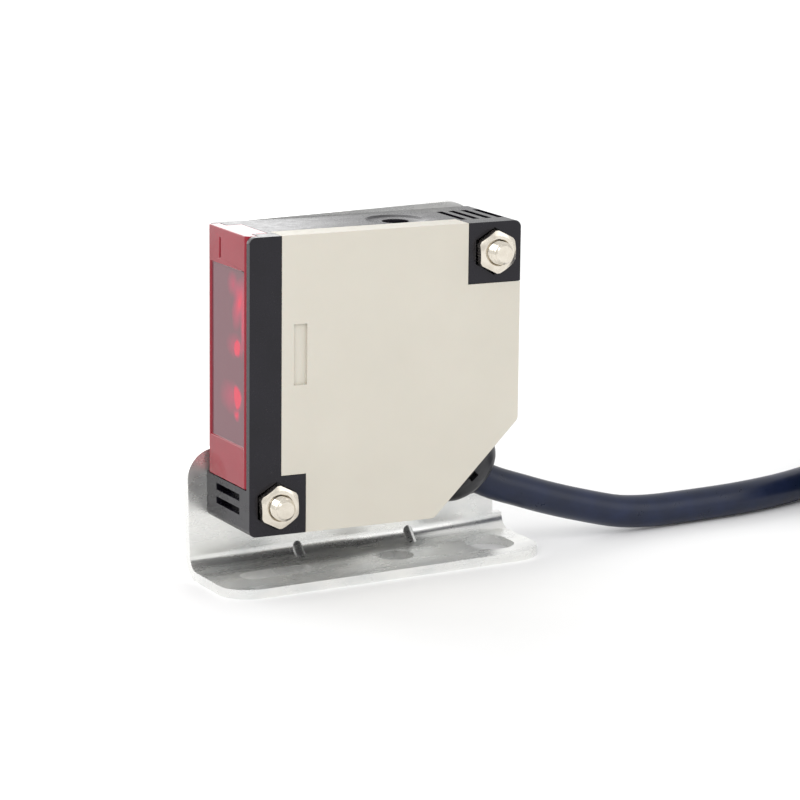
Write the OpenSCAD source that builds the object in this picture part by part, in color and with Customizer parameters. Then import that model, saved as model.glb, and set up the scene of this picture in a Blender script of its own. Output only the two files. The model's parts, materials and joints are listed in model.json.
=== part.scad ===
// Square-bodied photoelectric sensor with a pre-wired lead on a slotted L bracket.
// Millimetres, +Z up. The lens window looks along -X, the nut side faces -Y,
// and z = 0 is the underside of the bracket's base plate.
// Sensor modules are drawn in the body's own frame: x from the window, y from the
// nut side, z from the underside. on_body() then sets them on the bracket.

/* [Sensor body] */
// Depth from the window to the rear face
body_d = 50; // [44:1:60]
// Height of the body
body_h = 50; // [44:1:60]
// Thickness across the two mounting faces
body_t = 17.4; // [15:0.2:24]
// Corner cut that carries the cord gland
body_cut = 15.8; // [13:0.2:18]
// Radius of the four outline corners
body_r = 1.2; // [0.6:0.1:2]
// Wall thickness of case and cover
wall = 1.6; // [1.2:0.1:2.4]
// How far the side cover wraps round the edges
cover_wrap = 5; // [4:0.1:6]
// Width of the black strip in front of the cover
bezel_w = 5.7; // [5:0.1:7]
// Size of the black screw block at the lower front
low_block = [10.2, 9.9];
// Size of the black screw block at the upper rear
high_block = [9.8, 10.3];

/* [Mounting screws] */
// Distance of the screw axes from the edges
screw_in = 5; // [4.6:0.1:5.6]
// Screw diameter
screw_d = 4; // [3:0.5:4]
// Screw length under the head
screw_len = 25; // [20:1:35]
// Hole diameter in body and bracket
screw_hole = 4.4; // [3.4:0.1:4.8]
// Nut size across flats
nut_af = 6.6; // [5.5:0.1:7]
// Nut height
nut_h = 3.2; // [2.4:0.1:3.2]
// Depth of the hexagon pocket in the body
nut_seat = 1.5; // [0.8:0.1:2.5]
// Flat washer outer diameter
washer_od = 9; // [7:0.1:9]
// Flat washer thickness
washer_t = 1; // [0.5:0.1:1.2]
// Spring washer outer diameter
spring_od = 7.6; // [6:0.1:8]
// Spring washer thickness
spring_t = 1.2; // [0.8:0.1:1.4]
// Pan head diameter
head_d = 8; // [6:0.1:8]
// Pan head height
head_h = 2.8; // [2:0.1:3.1]

/* [Bracket] */
// Sheet thickness
plate_t = 1.6; // [1:0.1:2.5]
// How far the bracket reaches in front of the window
bracket_lead = 4.5; // [3:0.1:8]
// How far the bracket reaches behind the rear face
bracket_tail = 5.3; // [3:0.1:8]
// How far the upright plate's rear edge stands in from the base plate's
plate_in = 1.8; // [0:0.1:3]
// Depth of the base plate from its free edge to the bracket's back
base_d = 19; // [17:0.5:30]
// Gap between the base plate and the sensor
base_gap = 7.8; // [7:0.1:14]
// Inner bend radius
bend_r = 2.4; // [0.8:0.1:3]
// Corner radius of the base plate
corner_r = 6; // [2:0.5:7]
// Height of the low side lobes above the sensor's underside
lobe_h = 12.8; // [12:0.1:16]
// Radius round the two screw positions
lobe_r = 6; // [5.2:0.1:7]
// Half angle of the tilt slot
tilt_half = 4.3; // [3:0.1:6]
// How far the sensor is set with its window end up
rest_tilt = 1.5; // [-2:0.1:2]
// Long base slot: distance of its middle from the front edge, length and width
long_slot = [12.3, 13.6, 4.8];
// Base hole: distance from the front edge and diameter
base_hole = [34.5, 6.2];
// Cross slot: distance from the rear edge, length and width
cross_slot = [7.3, 10.2, 7.8];

/* [Front] */
// Thickness of the red window
window_t = 1.5; // [1.2:0.1:2]
// Lower edge of the window above the underside
window_z = 7.8; // [6:0.1:9]
// Lower edge of the optical zone above the underside
zone_low = 14.6; // [12:0.1:16]
// Distance of the optical zone's upper edge from the top face
zone_top = 6; // [5.6:0.1:8]
// Rearward reach of the window on the top face
tongue = 4.8; // [3.4:0.1:5.4]
// Width of that tongue
tongue_w = 10.4; // [8:0.1:12]
// Lens diameter
lens_d = 9.6; // [8:0.1:10]
// Distance of the emitter lens axis from the top face
emit_in = 13.2; // [12:0.1:15]
// Distance between the two lens axes
lens_gap = 14.4; // [12:0.1:15]

/* [Vents and adjuster] */
// Length of each vent slot
vent_l = 9.4; // [6:0.1:12]
// Width of each vent slot
vent_w = 1.15; // [0.8:0.05:1.4]
// Spacing of the vent slots
vent_pitch = 2.33; // [2:0.01:3]
// Depth of the vent slots
vent_deep = 1.6; // [1:0.1:2]
// Height of the upper front vent
vent_front = 6; // [5:0.1:7]
// Distance of the rearmost top vent from the rear face
vent_rear = 1.7; // [1.2:0.1:2]
// Distance of the adjuster from the window side
adj_x = 30.7; // [26:0.5:34]
// Adjuster knob diameter
adj_d = 4.1; // [3:0.1:5]
// Dish round the adjuster, diameter and depth
adj_dish = [10.4, 0.3];

/* [Gland and lead] */
// Diameter of the lead
lead_d = 5.8; // [5:0.1:6]
// Flange diameter of the gland
gland_d = 14.4; // [13.6:0.1:16.8]
// Flange thickness of the gland
gland_rim = 1.7; // [1:0.1:3]
// Height of the gland's dome over the chamfer
gland_h = 5.2; // [4:0.1:8]
// Neck diameter of the gland inside the case
gland_neck = 12; // [11:0.1:13]
// Downward angle of the lead's outlet
outlet_angle = 26; // [20:1:40]

/* [Hidden] */
$fn = 48;
e = 0.01;
gap = 0.1;

plate_y = body_t;
plate_back = body_t + plate_t;
head_y = plate_back + washer_t + spring_t;
// standard length that reaches at least 1.5 mm past the nut
screw_l = max(screw_len, 5 * ceil((head_y + nut_h - nut_seat + 1.5) / 5));
screw_end = screw_l - head_y;
bracket_w = body_d + bracket_lead + bracket_tail;
body_x = -bracket_w / 2 + bracket_lead;
body_y = -(head_y + head_h - screw_end) / 2;
body_z = plate_t + base_gap;
mid_y = body_t / 2;

low_screw = [screw_in, screw_in];
high_screw = [body_d - screw_in, body_h - screw_in];
pivot_r = norm(high_screw - low_screw);
pivot_angle = atan2(high_screw[1] - low_screw[1], high_screw[0] - low_screw[0]);

// Where a point [x, z] of the body's frame is once the sensor is tilted about the upper screw
function to_model(p) =
    let (dx = p[0] - high_screw[0], dz = p[1] - high_screw[1])
    [body_x + high_screw[0] + dx * cos(rest_tilt) + dz * sin(rest_tilt),
    body_z + high_screw[1] - dx * sin(rest_tilt) + dz * cos(rest_tilt)];

// Chamfer line: x - z = cut_k
cut_k = body_d - body_cut;
cut_mid = [body_d - body_cut / 2, body_cut / 2];
outlet = [cut_mid[0] + 6.9, cut_mid[1] - 4.6];
outlet_dir = [cos(outlet_angle), -sin(outlet_angle)];
// crimped clamp: distance from the outlet along the cord, and its length
clamp_s = 13;
clamp_l = 2.4;

// Places of the two pressed ribs along the bend
gusset_x = [-9.9, 11.3];

front_wall = window_t + 1.7;
zone_z = [zone_low, body_h - zone_top];
emit_z = body_h - emit_in;
recv_z = emit_z - lens_gap;
window_y = [1.3, body_t - 1];
side_set = 0.8;
top_open = [2, tongue];

// Printed circuit boards and what they carry
optics_x = 13.2;
optics_t = 1;
board_y = body_t - 5;
board_t = 1.2;
board_in = wall + 0.8;
board_k = cut_k - 8.6;
board_x = [optics_x + optics_t + 1.1, body_d - high_block[0] - 0.7, body_d - board_in];
board_z = [board_in, body_h - high_block[1] - 0.9, body_h - board_in];
board_pts = [[board_x[0], board_z[0]], [board_k + board_z[0], board_z[0]],
    [board_x[2], board_x[2] - board_k], [board_x[2], board_z[1]], [board_x[1], board_z[1]],
    [board_x[1], board_z[2]], [board_x[0], board_z[2]]];
board_holes = [[board_x[0] + 2.6, 36.4], [body_d - 5.1, body_cut + 9.6]];
relay_box = [15, 9.6, 10];
adj_base = [7, 7.2, 5.2];
adj_shaft = 3;
shaft_play = 0.03;

// Free lead: hand-chosen points in the model's own frame. It leaves the gland at
// lead_exit and runs out along x to a hank with two runs, tied on one side.
lead_exit = [to_model(outlet)[0], body_y + mid_y, to_model(outlet)[1]];
lead_bend = [[0, 0], [2.5, -1.1], [6.3, -2.5], [10.3, -4], [14.4, -5.4]];
lead_run = [[40.8, 0, 6], [44.9, 0, 4.8], [49, 0, 3.8], [55, 0, 3.15], [64, 0.1, 3], [74, 0.5, 3], [84, 2.4, 3],
    [94, 6, 3], [104, 9.8, 3], [112, 12.1, 3], [119.5, 12.9, 3]];
lead_pts = concat([for (p = lead_bend) lead_exit + [p[0], 0, p[1]]],
    [for (p = lead_run) [p[0], lead_exit[1] + p[1], p[2]]]);
// centre of the hank's first bend, length of its straight runs, inner and outer radius
hank_at = [119.5, lead_exit[1] - 11.1];
hank_run = 67;
hank_r = [15, 27];
hank_z = [0.1, 23.9];
tie_t = 0.7;
tie_w = 4;
tie_x = 33.5;
tail_turn = [[2, 17.9, 3], [10, 16.9, 3], [18, 14.4, 3], [26, 11, 3], [34, 7.5, 3]];
tail_pts = [for (p = tail_turn) [hank_at[0] + p[0], hank_at[1] + p[1], p[2]]];

// Stripped cores: where they leave the jacket, then how they fan out inside the hank
core_d = 1.4;
core_side = [0.4, 0.916, 0];
core_start = [[-1.43, -0.46], [-0.88, 1.21], [0, -1.5], [0.88, 1.21], [1.43, -0.46]];
core_turn = [[34, 7.5, 3], [40.4, 4.7, 1.7], [47.7, 1.5, 0.75], [56, -2, 0.72]];
core_spread = [0, 1.55, 2, 2.4];
tip_l = 5;

black = [0.14, 0.14, 0.16];
beige = [0.86, 0.83, 0.78];
red = [0.72, 0.2, 0.28, 0.8];
zinc = [0.8, 0.82, 0.82];
nickel = [0.88, 0.86, 0.82];
navy = [0.13, 0.16, 0.24];
green = [0.1, 0.35, 0.2];

// ---- helpers ----

// Puts children drawn in the body's frame on the bracket, level
module on_bracket() {
    translate([body_x, body_y, body_z]) children();
}

// The same, tilted about the upper rear screw as the sensor is set
module on_body() {
    on_bracket() translate([high_screw[0], 0, high_screw[1]]) rotate([0, rest_tilt, 0])
        translate([-high_screw[0], 0, -high_screw[1]]) children();
}

// Extrudes a 2D x-z shape along y, from y0 to y1
module slab_y(y0, y1) {
    translate([0, y1, 0]) rotate([90, 0, 0]) linear_extrude(y1 - y0) children();
}

// Round rod along y at p = [x, z]
module rod_y(p, y0, y1, d) {
    slab_y(y0, y1) translate(p) circle(d = d);
}

// Round rod along x at y, z
module rod_x(x0, x1, y, z, d) {
    translate([x0, y, z]) rotate([0, 90, 0]) cylinder(d = d, h = x1 - x0);
}

// Box between two corners
module box(lo, hi) {
    translate(lo) cube(hi - lo);
}

// Places children with z along the gland's axis, origin on the chamfer's middle
module on_chamfer() {
    translate([cut_mid[0], mid_y, cut_mid[1]]) rotate([0, 135, 0]) children();
}

// Rod along the lead's outlet axis; s counts back from the outlet into the case
module outlet_rod(s0, s1, d) {
    translate([outlet[0] - s1 * outlet_dir[0], mid_y, outlet[1] - s1 * outlet_dir[1]])
        rotate([0, 90 + outlet_angle, 0]) cylinder(d = d, h = s1 - s0);
}

// Swept round tube through points that run mostly level
function unit(v) = v / norm(v);
function heading(p, i) = unit(p[min(i + 1, len(p) - 1)] - p[max(i - 1, 0)]);
function ring(c, t, d, n) =
    let (side = unit(cross(t, [0, 0, 1])), up = cross(side, t))
    [for (k = [0:n - 1]) c + d / 2 * (cos(360 * k / n) * side + sin(360 * k / n) * up)];

module tube(p, d, n = 10, first = undef) {
    m = len(p);
    pts = [for (i = [0:m - 1]) each ring(p[i], (i == 0 && first != undef) ? first : heading(p, i),
        d, n)];
    skin = [for (i = [0:m - 2], k = [0:n - 1])
        [i * n + k, (i + 1) * n + k, (i + 1) * n + (k + 1) % n, i * n + (k + 1) % n]];
    ends = [[for (k = [0:n - 1]) k], [for (k = [0:n - 1]) m * n - 1 - k]];
    polyhedron(points = pts, faces = concat(skin, ends), convexity = 4);
}

// ---- outlines in x-z ----

module body_outline() {
    offset(body_r) offset(delta = -body_r)
        polygon([[0, 0], [cut_k, 0], [body_d, body_cut], [body_d, body_h], [0, body_h]]);
}

// The two black screw blocks, grown by g on their inner sides
module blocks(g = 0) {
    translate([-1, -1]) square([low_block[0] + 1 + g, low_block[1] + 1 + g]);
    translate([body_d - high_block[0] - g, body_h - high_block[1] - g])
        square([high_block[0] + 1 + g, high_block[1] + 1 + g]);
}

// What the cover fills at the near side
module cover_outline(g = 0) {
    difference() {
        body_outline();
        blocks(g);
        translate([-1, -1]) square([bezel_w + 1 + g, body_h + 2]);
    }
}

module inner_outline() {
    difference() {
        offset(delta = -wall) body_outline();
        blocks();
    }
}

// Tilt slot and pivot hole are both centred on the upper rear screw
module tilt_slot(y0, y1, d) {
    r = pivot_r;
    translate([high_screw[0], y1, high_screw[1]]) rotate([90, 0, 0]) {
        rotate([0, 0, 180 + pivot_angle - tilt_half]) rotate_extrude(angle = 2 * tilt_half, $fn = 360)
            translate([r - d / 2, 0]) square([d, y1 - y0]);
        for (a = [-1, 1]) rotate([0, 0, 180 + pivot_angle + a * tilt_half])
            translate([r, 0, 0]) cylinder(d = d, h = y1 - y0);
    }
}

// ---- bracket ----

module plate_outline() {
    x0 = -bracket_lead;
    x1 = bracket_w - bracket_lead - plate_in;
    low = -body_z;
    tall_x0 = low_block[0] / 2;
    // low lobes with rounded shoulders
    hull() {
        translate([x0, low]) square([x1 - x0, e]);
        for (x = [x0 + lobe_r - 1, x1 - lobe_r + 1])
            translate([x, lobe_h - lobe_r + 1]) circle(lobe_r - 1);
    }
    // tall part up to the pivot
    hull() {
        translate([tall_x0, low]) square([high_screw[0] + lobe_r - tall_x0, e]);
        translate([tall_x0 + 3, high_screw[1] + lobe_r - 3]) circle(3);
        translate(high_screw) circle(lobe_r);
    }
}

module base_outline() {
    hull() {
        translate([-bracket_w / 2, base_d - 1]) square([bracket_w, 1]);
        for (s = [-1, 1]) translate([s * (bracket_w / 2 - corner_r), corner_r]) circle(corner_r);
    }
}

module bend_profile() {
    // drawn in y-z with the inner corner of the angle at the origin
    inner = bend_r;
    translate([0, -plate_t]) difference() {
        union() {
            translate([0, plate_t + inner]) square([plate_t, 80]);
            translate([-80, 0]) square([80 - inner, plate_t]);
            translate([-inner, plate_t + inner]) circle(inner + plate_t);
        }
        translate([-inner, plate_t + inner]) circle(inner);
        translate([-90, plate_t + inner]) square([90 - inner, 100]);
        translate([-inner - 90, plate_t]) square([90, 100]);
        translate([-inner, plate_t + inner]) square([inner, 100]);
    }
}

// One slot through the base plate; c = [x, y], l along x, w along y
module base_slot(c, l, w) {
    for (s = [-1, 1]) translate([c[0] + s * (l - w) / 2, c[1], -1]) cylinder(d = w, h = plate_t + 2);
    if (l > w) translate([c[0] - (l - w) / 2, c[1] - w / 2, -1]) cube([l - w, w, plate_t + 2]);
}

// Round bar at 45 degrees across the bend, shift inwards from the inner corner
module gusset(x, d, shift) {
    translate([x, body_y + plate_y, plate_t]) rotate([-45, 0, 0])
        translate([0, -shift, -8]) cylinder(d = d, h = 16);
}

module bracket() {
    back = body_y + plate_back;
    hole_y = body_y + mid_y;
    color(zinc) difference() {
        union() {
            intersection() {
                // folded strip
                translate([-bracket_w / 2, body_y + plate_y, plate_t]) rotate([90, 0, 90])
                    linear_extrude(bracket_w) bend_profile();
                union() {
                    on_bracket() slab_y(plate_y - bend_r + 0.4, plate_back + 1) plate_outline();
                    translate([0, back - base_d, -1]) linear_extrude(plate_t + 1 + bend_r + 0.2)
                        base_outline();
                }
                translate([-bracket_w / 2, back - base_d, 0]) cube([bracket_w, base_d, 100]);
            }
            // pressed stiffening ribs inside the bend
            intersection() {
                for (x = gusset_x) gusset(x, 2, 0.75);
                translate([-bracket_w / 2, body_y + 2, 0.6]) cube([bracket_w, plate_y - 2 + 1, 12]);
            }
        }
        // dents of the ribs on the outside of the bend
        for (x = gusset_x) gusset(x, 1.2, -1.45);
        on_bracket() {
            rod_y(high_screw, plate_y - 1, plate_back + 1, screw_hole);
            tilt_slot(plate_y - 1, plate_back + 1, screw_hole);
        }
        base_slot([long_slot[0] - bracket_w / 2, hole_y], long_slot[1], long_slot[2]);
        translate([base_hole[0] - bracket_w / 2, hole_y, -1]) cylinder(d = base_hole[1], h = plate_t + 2);
        translate([bracket_w / 2 - cross_slot[0], hole_y, 0]) rotate([0, 0, 90])
            base_slot([0, 0], cross_slot[1], cross_slot[2]);
    }
}

// ---- housing ----

module window_cut(g, deep) {
    y0 = window_y[0] - g;
    y1 = window_y[1] + g;
    box([-1, y0, window_z - g], [deep, y1, body_h + 1]);
    box([-1, y0, body_h - window_t - g], [top_open[0] + g, y1, body_h + 1]);
    box([-1, mid_y - tongue_w / 2 - g, body_h - window_t - g],
        [top_open[1] + g, mid_y + tongue_w / 2 + g, body_h + 1]);
}

module case() {
    color(black) on_body() difference() {
        union() {
            slab_y(cover_wrap, body_t) body_outline();
            slab_y(0, cover_wrap + e) difference() {
                body_outline();
                cover_outline();
            }
        }
        // inside, open towards the cover
        difference() {
            union() {
                slab_y(cover_wrap - e, body_t - wall) inner_outline();
                slab_y(wall, cover_wrap) intersection() {
                    inner_outline();
                    translate([-1, -1]) square([bezel_w + 2, body_h + 2]);
                }
            }
            box([-1, -1, -1], [front_wall, body_t + 1, body_h + 1]);
            // board pillars
            for (p = board_holes) rod_y(p, board_y + board_t, body_t, 4.8);
        }
        for (p = board_holes) rod_y(p, board_y, body_t - wall, 2);
        // groove for the cover seal
        slab_y(cover_wrap - e, cover_wrap + 0.8) seal_ring(0.05);
        // window seat, light opening and indicator opening
        window_cut(gap, window_t + 0.5);
        box([-1, body_t - wall + 0.5, window_z], [side_set, body_t + 1, body_h + 1]);
        box([0, 2.6, zone_z[0]], [front_wall + 1, body_t - 2.6, zone_z[1]]);
        box([0, mid_y - 1.7, zone_z[1] + 1.1], [front_wall + 1, mid_y + 1.7, zone_z[1] + 3.7]);
        // vents at the lower front and the upper rear
        for (i = [0, 1]) translate([vent_deep / 2 - 1, mid_y, vent_front - i * vent_pitch])
            cube([vent_deep + 2, vent_l, vent_w], center = true);
        for (i = [0:3]) translate([body_d - vent_rear - i * vent_pitch, mid_y, body_h + 1 - vent_deep / 2])
            cube([vent_w, vent_l, vent_deep + 2], center = true);
        // adjuster hole with its dish
        translate([adj_x, mid_y, body_h - wall - 1]) cylinder(d = adj_d + 0.5, h = wall + 2);
        translate([adj_x, mid_y, body_h - adj_dish[1]])
            cylinder(d1 = adj_dish[0] - 1, d2 = adj_dish[0] + 1, h = 2 * adj_dish[1]);
        // screw holes and hexagon pockets
        for (p = [low_screw, high_screw]) {
            rod_y(p, -1, body_t + 1, screw_hole);
            slab_y(-1, nut_seat) translate(p) rotate(90) circle(d = (nut_af + 0.4) / cos(30), $fn = 6);
        }
        on_chamfer() translate([0, 0, -9]) cylinder(d = gland_neck + 0.2, h = 12);
    }
}

module side_cover() {
    color(beige) on_body() difference() {
        slab_y(0, cover_wrap - gap) cover_outline(gap);
        slab_y(wall, cover_wrap + 1) difference() {
            offset(delta = -wall) body_outline();
            blocks(wall + gap);
        }
        // shallow rectangular recess near the front
        box([8, -1, 25], [10.4, 0.5, 35.2]);
        on_chamfer() translate([0, 0, -9]) cylinder(d = gland_neck + 0.2, h = 12);
    }
}

module seal_ring(g) {
    difference() {
        offset(delta = -0.4 + g) body_outline();
        offset(delta = -1.1 - g) body_outline();
        blocks(0.4 - g);
        translate([-1, -1]) square([bezel_w + 1.6 - g, body_h + 2]);
    }
}

module cover_seal() {
    color([0.1, 0.1, 0.1]) on_body() difference() {
        slab_y(cover_wrap - gap, cover_wrap + 0.8) seal_ring(0);
        on_chamfer() translate([0, 0, -9]) cylinder(d = gland_neck + 0.6, h = 12);
    }
}

module front_window() {
    color(red) on_body() difference() {
        union() {
            box([0, window_y[0], window_z], [window_t, window_y[1], body_h]);
            box([0, window_y[0], body_h - window_t], [top_open[0], window_y[1], body_h]);
            box([0, mid_y - tongue_w / 2, body_h - window_t],
                [top_open[1], mid_y + tongue_w / 2, body_h]);
        }
        // optical zone stands back a little from the frame
        box([-1, window_y[0] + 1, zone_z[0]], [0.3, body_t - 1.6, zone_z[1]]);
        // slit beside the indicator
        box([-1, mid_y + 3, zone_z[1] + 1], [0.6, mid_y + 3.4, body_h - 1.6]);
        // bevel along the near edge
        translate([0, window_y[0], window_z - 1]) rotate([0, 0, 45])
            cube([1, 1, 2 * body_h], center = true);
    }
}

module window_seal() {
    color([0.08, 0.08, 0.08]) on_body() difference() {
        box([window_t + 0.02, window_y[0] + 0.2, window_z + 0.2],
            [window_t + 0.48, window_y[1] - 0.2, body_h - window_t - 0.3]);
        box([0, 3, zone_z[0] + 0.4], [5, body_t - 3, zone_z[1] - 0.4]);
        box([0, mid_y - 1.6, zone_z[1] + 1.2], [5, mid_y + 1.6, zone_z[1] + 3.6]);
    }
}

// ---- optics ----

module lens(z) {
    on_body() {
        rod_x(3.6, 4.8, mid_y, z, lens_d - 0.1);
        intersection() {
            translate([11.6, mid_y, z]) sphere(r = 9.2, $fn = 64);
            rod_x(1.5, 3.7, mid_y, z, lens_d - 0.6);
        }
    }
}

module emitter_lens() {
    color([0.85, 0.7, 0.72]) lens(emit_z);
}

module receiver_lens() {
    color([0.85, 0.8, 0.82]) lens(recv_z);
}

module optical_block() {
    color(black) on_body() difference() {
        box([front_wall + gap, 2.4, zone_z[0] - 0.4], [optics_x - gap, body_t - 2.2, zone_z[1] + 0.8]);
        for (z = [emit_z, recv_z]) {
            rod_x(3, 4.9, mid_y, z, lens_d);
            rod_x(4, 10.4, mid_y, z, lens_d - 1.4);
        }
        rod_x(9, 14, mid_y, emit_z, 5.2);
        box([9, mid_y - 2.2, recv_z - 2.2], [14, mid_y + 2.2, recv_z + 2.2]);
    }
}

module emitter_led() {
    color([0.8, 0.1, 0.12]) on_body() {
        rod_x(9.6, optics_x - 0.05, mid_y, emit_z, 5);
        translate([9.6, mid_y, emit_z]) sphere(d = 5);
    }
}

module receiver_diode() {
    color([0.12, 0.12, 0.14]) on_body()
        box([11.4, mid_y - 2.1, recv_z - 2.1], [optics_x - 0.05, mid_y + 2.1, recv_z + 2.1]);
}

module light_guide() {
    color([0.9, 0.85, 0.85]) on_body()
        box([window_t + 0.05, mid_y - 1.5, zone_z[1] + 1.3], [12, mid_y + 1.5, zone_z[1] + 3.5]);
}

module indicator_led() {
    color([0.95, 0.55, 0.2]) on_body()
        box([12.1, mid_y - 0.8, zone_z[1] + 1.7], [optics_x - 0.05, mid_y + 0.8, zone_z[1] + 3.1]);
}

module optics_board() {
    color(green) on_body()
        box([optics_x, 2.6, zone_z[0] - 2], [optics_x + optics_t, board_y + board_t, zone_z[1] + 3.9]);
}

// ---- main board ----

module main_board() {
    color(green) on_body() difference() {
        slab_y(board_y, board_y + board_t) polygon(board_pts);
        for (p = board_holes) rod_y(p, board_y - 1, board_y + board_t + 1, 2.3);
    }
}

module board_screws() {
    color(nickel) on_body() for (p = board_holes) {
        rod_y(p, board_y - e, body_t - wall - 0.2, 1.8);
        difference() {
            rod_y(p, board_y - 1.4, board_y, 3.6);
            for (a = [0, 90]) slab_y(board_y - 2, board_y - 0.8) translate(p) rotate(a)
                square([2.2, 0.5], center = true);
        }
    }
}

module board_connector() {
    color([0.9, 0.88, 0.82]) on_body() difference() {
        box([optics_x + optics_t + 0.05, board_y - 2.6, 18], [17.4, board_y - 0.02, 32]);
        for (i = [0:4]) box([14, board_y - 3, 19.4 + i * 2.5], [16.4, board_y - 1, 20.6 + i * 2.5]);
    }
}

module relay() {
    color([0.12, 0.13, 0.15]) on_body() difference() {
        box([19, board_y - 0.05 - relay_box[1], 16.5], [19 + relay_box[0], board_y - 0.05,
            16.5 + relay_box[2]]);
        box([20.2, board_y - 1 - relay_box[1], 17.7], [17.8 + relay_box[0], board_y + 0.15 - relay_box[1],
            15.3 + relay_box[2]]);
    }
}

module supply_capacitor() {
    color([0.12, 0.14, 0.3]) on_body() {
        rod_x(17, 28.4, board_y - 4.1, 7.8, 8);
        rod_x(28.3, 28.8, board_y - 4.1, 7.8, 6.6);
    }
}

module film_capacitor() {
    color([0.7, 0.15, 0.12]) on_body()
        box([19.6, board_y - 5.6, 29], [29.4, board_y - 0.05, 35]);
}

module choke() {
    color([0.2, 0.2, 0.21]) on_body() difference() {
        rod_y([38.8, 31.2], board_y - 7.4, board_y - 0.05, 8);
        slab_y(board_y - 6.2, board_y - 1.4) difference() {
            translate([38.8, 31.2]) circle(d = 12);
            translate([38.8, 31.2]) circle(d = 6.4);
        }
    }
}

module control_ic() {
    color([0.1, 0.1, 0.11]) on_body() {
        box([20, board_y - 1.2, 38.6], [27, board_y - 0.1, 43.6]);
        for (i = [0:4], s = [0, 1]) box([20.6 + i * 1.3, board_y - 0.5, s == 0 ? 37.6 : 43.5],
            [21.1 + i * 1.3, board_y - 0.05, s == 0 ? 38.7 : 44.6]);
    }
}

// ---- adjuster ----

module adjuster_base() {
    z0 = body_h - wall - 8;
    color([0.16, 0.3, 0.55]) on_body() difference() {
        box([adj_x - adj_base[0] / 2, mid_y - adj_base[1] / 2, z0],
            [adj_x + adj_base[0] / 2, board_y - gap, z0 + adj_base[2]]);
        translate([adj_x, mid_y, z0 + 1.5]) cylinder(d = adj_shaft + 2 * shaft_play, h = 10);
    }
}

module adjuster_knob() {
    z0 = body_h - wall - 8 + adj_base[2] + 0.1;
    top = body_h - 1.3;
    color([0.12, 0.12, 0.13]) on_body() translate([adj_x, mid_y, 0]) difference() {
        union() {
            translate([0, 0, z0]) cylinder(d = adj_d, h = top - z0);
            translate([0, 0, z0 - 3]) cylinder(d = adj_shaft, h = 3.1);
        }
        // screwdriver cross with one arm longer, so that its position can be read
        translate([-0.45, -1.5, top - 1.2]) cube([0.9, 3.0, 2]);
        translate([-1.5, -0.4, top - 1.2]) cube([3.9, 0.8, 2]);
    }
}

// ---- gland and what is behind it ----

module gland() {
    r0 = gland_d / 2;
    nose_r = lead_d / 2 + 0.8;
    color([0.1, 0.1, 0.11]) on_body() difference() {
        union() {
            on_chamfer() {
                translate([0, 0, 0.02]) cylinder(r = r0, h = gland_rim);
                // dome: a quarter ellipse from the rim down to the nose
                translate([0, 0, gland_rim]) rotate_extrude() polygon(concat([[0, 0]],
                    [for (a = [0:10:90]) [nose_r + (r0 - nose_r) * cos(a),
                        (gland_h - gland_rim) * sin(a)]], [[0, gland_h - gland_rim]]));
                // neck through the chamfer wall
                translate([0, 0, -2.4]) cylinder(d = gland_neck, h = 2.6);
            }
            outlet_rod(2.7, 6, 2 * nose_r - 0.4);
        }
        outlet_rod(-2, 16, lead_d + 0.06);
        // small rectangular notch in the near flank
        on_chamfer() translate([0.2, -r0 - 1, 1]) cube([1.6, 2.4, 1.1]);
    }
}

module cord_clamp() {
    color(nickel) on_body() difference() {
        outlet_rod(clamp_s, clamp_s + clamp_l, lead_d + 1.3);
        outlet_rod(clamp_s - 1, clamp_s + clamp_l + 1, lead_d + 0.1);
        clamp_slit();
    }
}

// Slit that lets the crimped sleeve close round the cord
module clamp_slit() {
    s = clamp_s + clamp_l / 2;
    translate([outlet[0] - s * outlet_dir[0], mid_y - 3, outlet[1] - s * outlet_dir[1]])
        rotate([0, outlet_angle, 0]) cube([4, 6, 0.6], center = true);
}

module inner_cord() {
    color(navy) on_body() outlet_rod(0.02, clamp_s + clamp_l + 0.6, lead_d);
}

// Five cores from the end of the inner cord to their solder points on the board
module core_wires() {
    s = clamp_s + clamp_l + 0.95;
    from = [outlet[0] - s * outlet_dir[0], mid_y, outlet[1] - s * outlet_dir[1]];
    across = [-outlet_dir[1], 0, outlet_dir[0]];
    color([0.5, 0.4, 0.3]) on_body() for (i = [0:4]) {
        q = [outlet[0] - 19, board_y - 1, outlet[1] + 3.9 + i * 1.9];
        wire(from + (i - 2) * 1.12 * across, q, 0.9);
        rod_y([q[0], q[2]], board_y - 1.4, board_y - 0.05, 1);
    }
}

module wire(p, q, d) {
    v = q - p;
    translate(p) rotate([0, acos(v[2] / norm(v)), atan2(v[1], v[0])]) cylinder(d = d, h = norm(v), $fn = 16);
}

// ---- mounting screws, as groups of two ----

module at_screws() {
    on_body() for (p = [low_screw, high_screw]) translate([p[0], 0, p[1]]) rotate([-90, 0, 0]) children();
}

module mount_screws() {
    color(nickel) at_screws() difference() {
        union() {
            translate([0, 0, -screw_end]) cylinder(d1 = screw_d - 1, d2 = screw_d, h = 0.5);
            translate([0, 0, 0.5 - screw_end - e]) cylinder(d = screw_d, h = screw_l - 0.5 + 2 * e);
            intersection() {
                translate([0, 0, head_y]) cylinder(d = head_d, h = head_h);
                translate([0, 0, head_y - 3.4]) sphere(r = 6.2, $fn = 64);
            }
        }
        for (a = [0, 90]) rotate([0, 0, a]) translate([0, 0, head_y + head_h])
            cube([4.4, 1, 3.2], center = true);
    }
}

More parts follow.
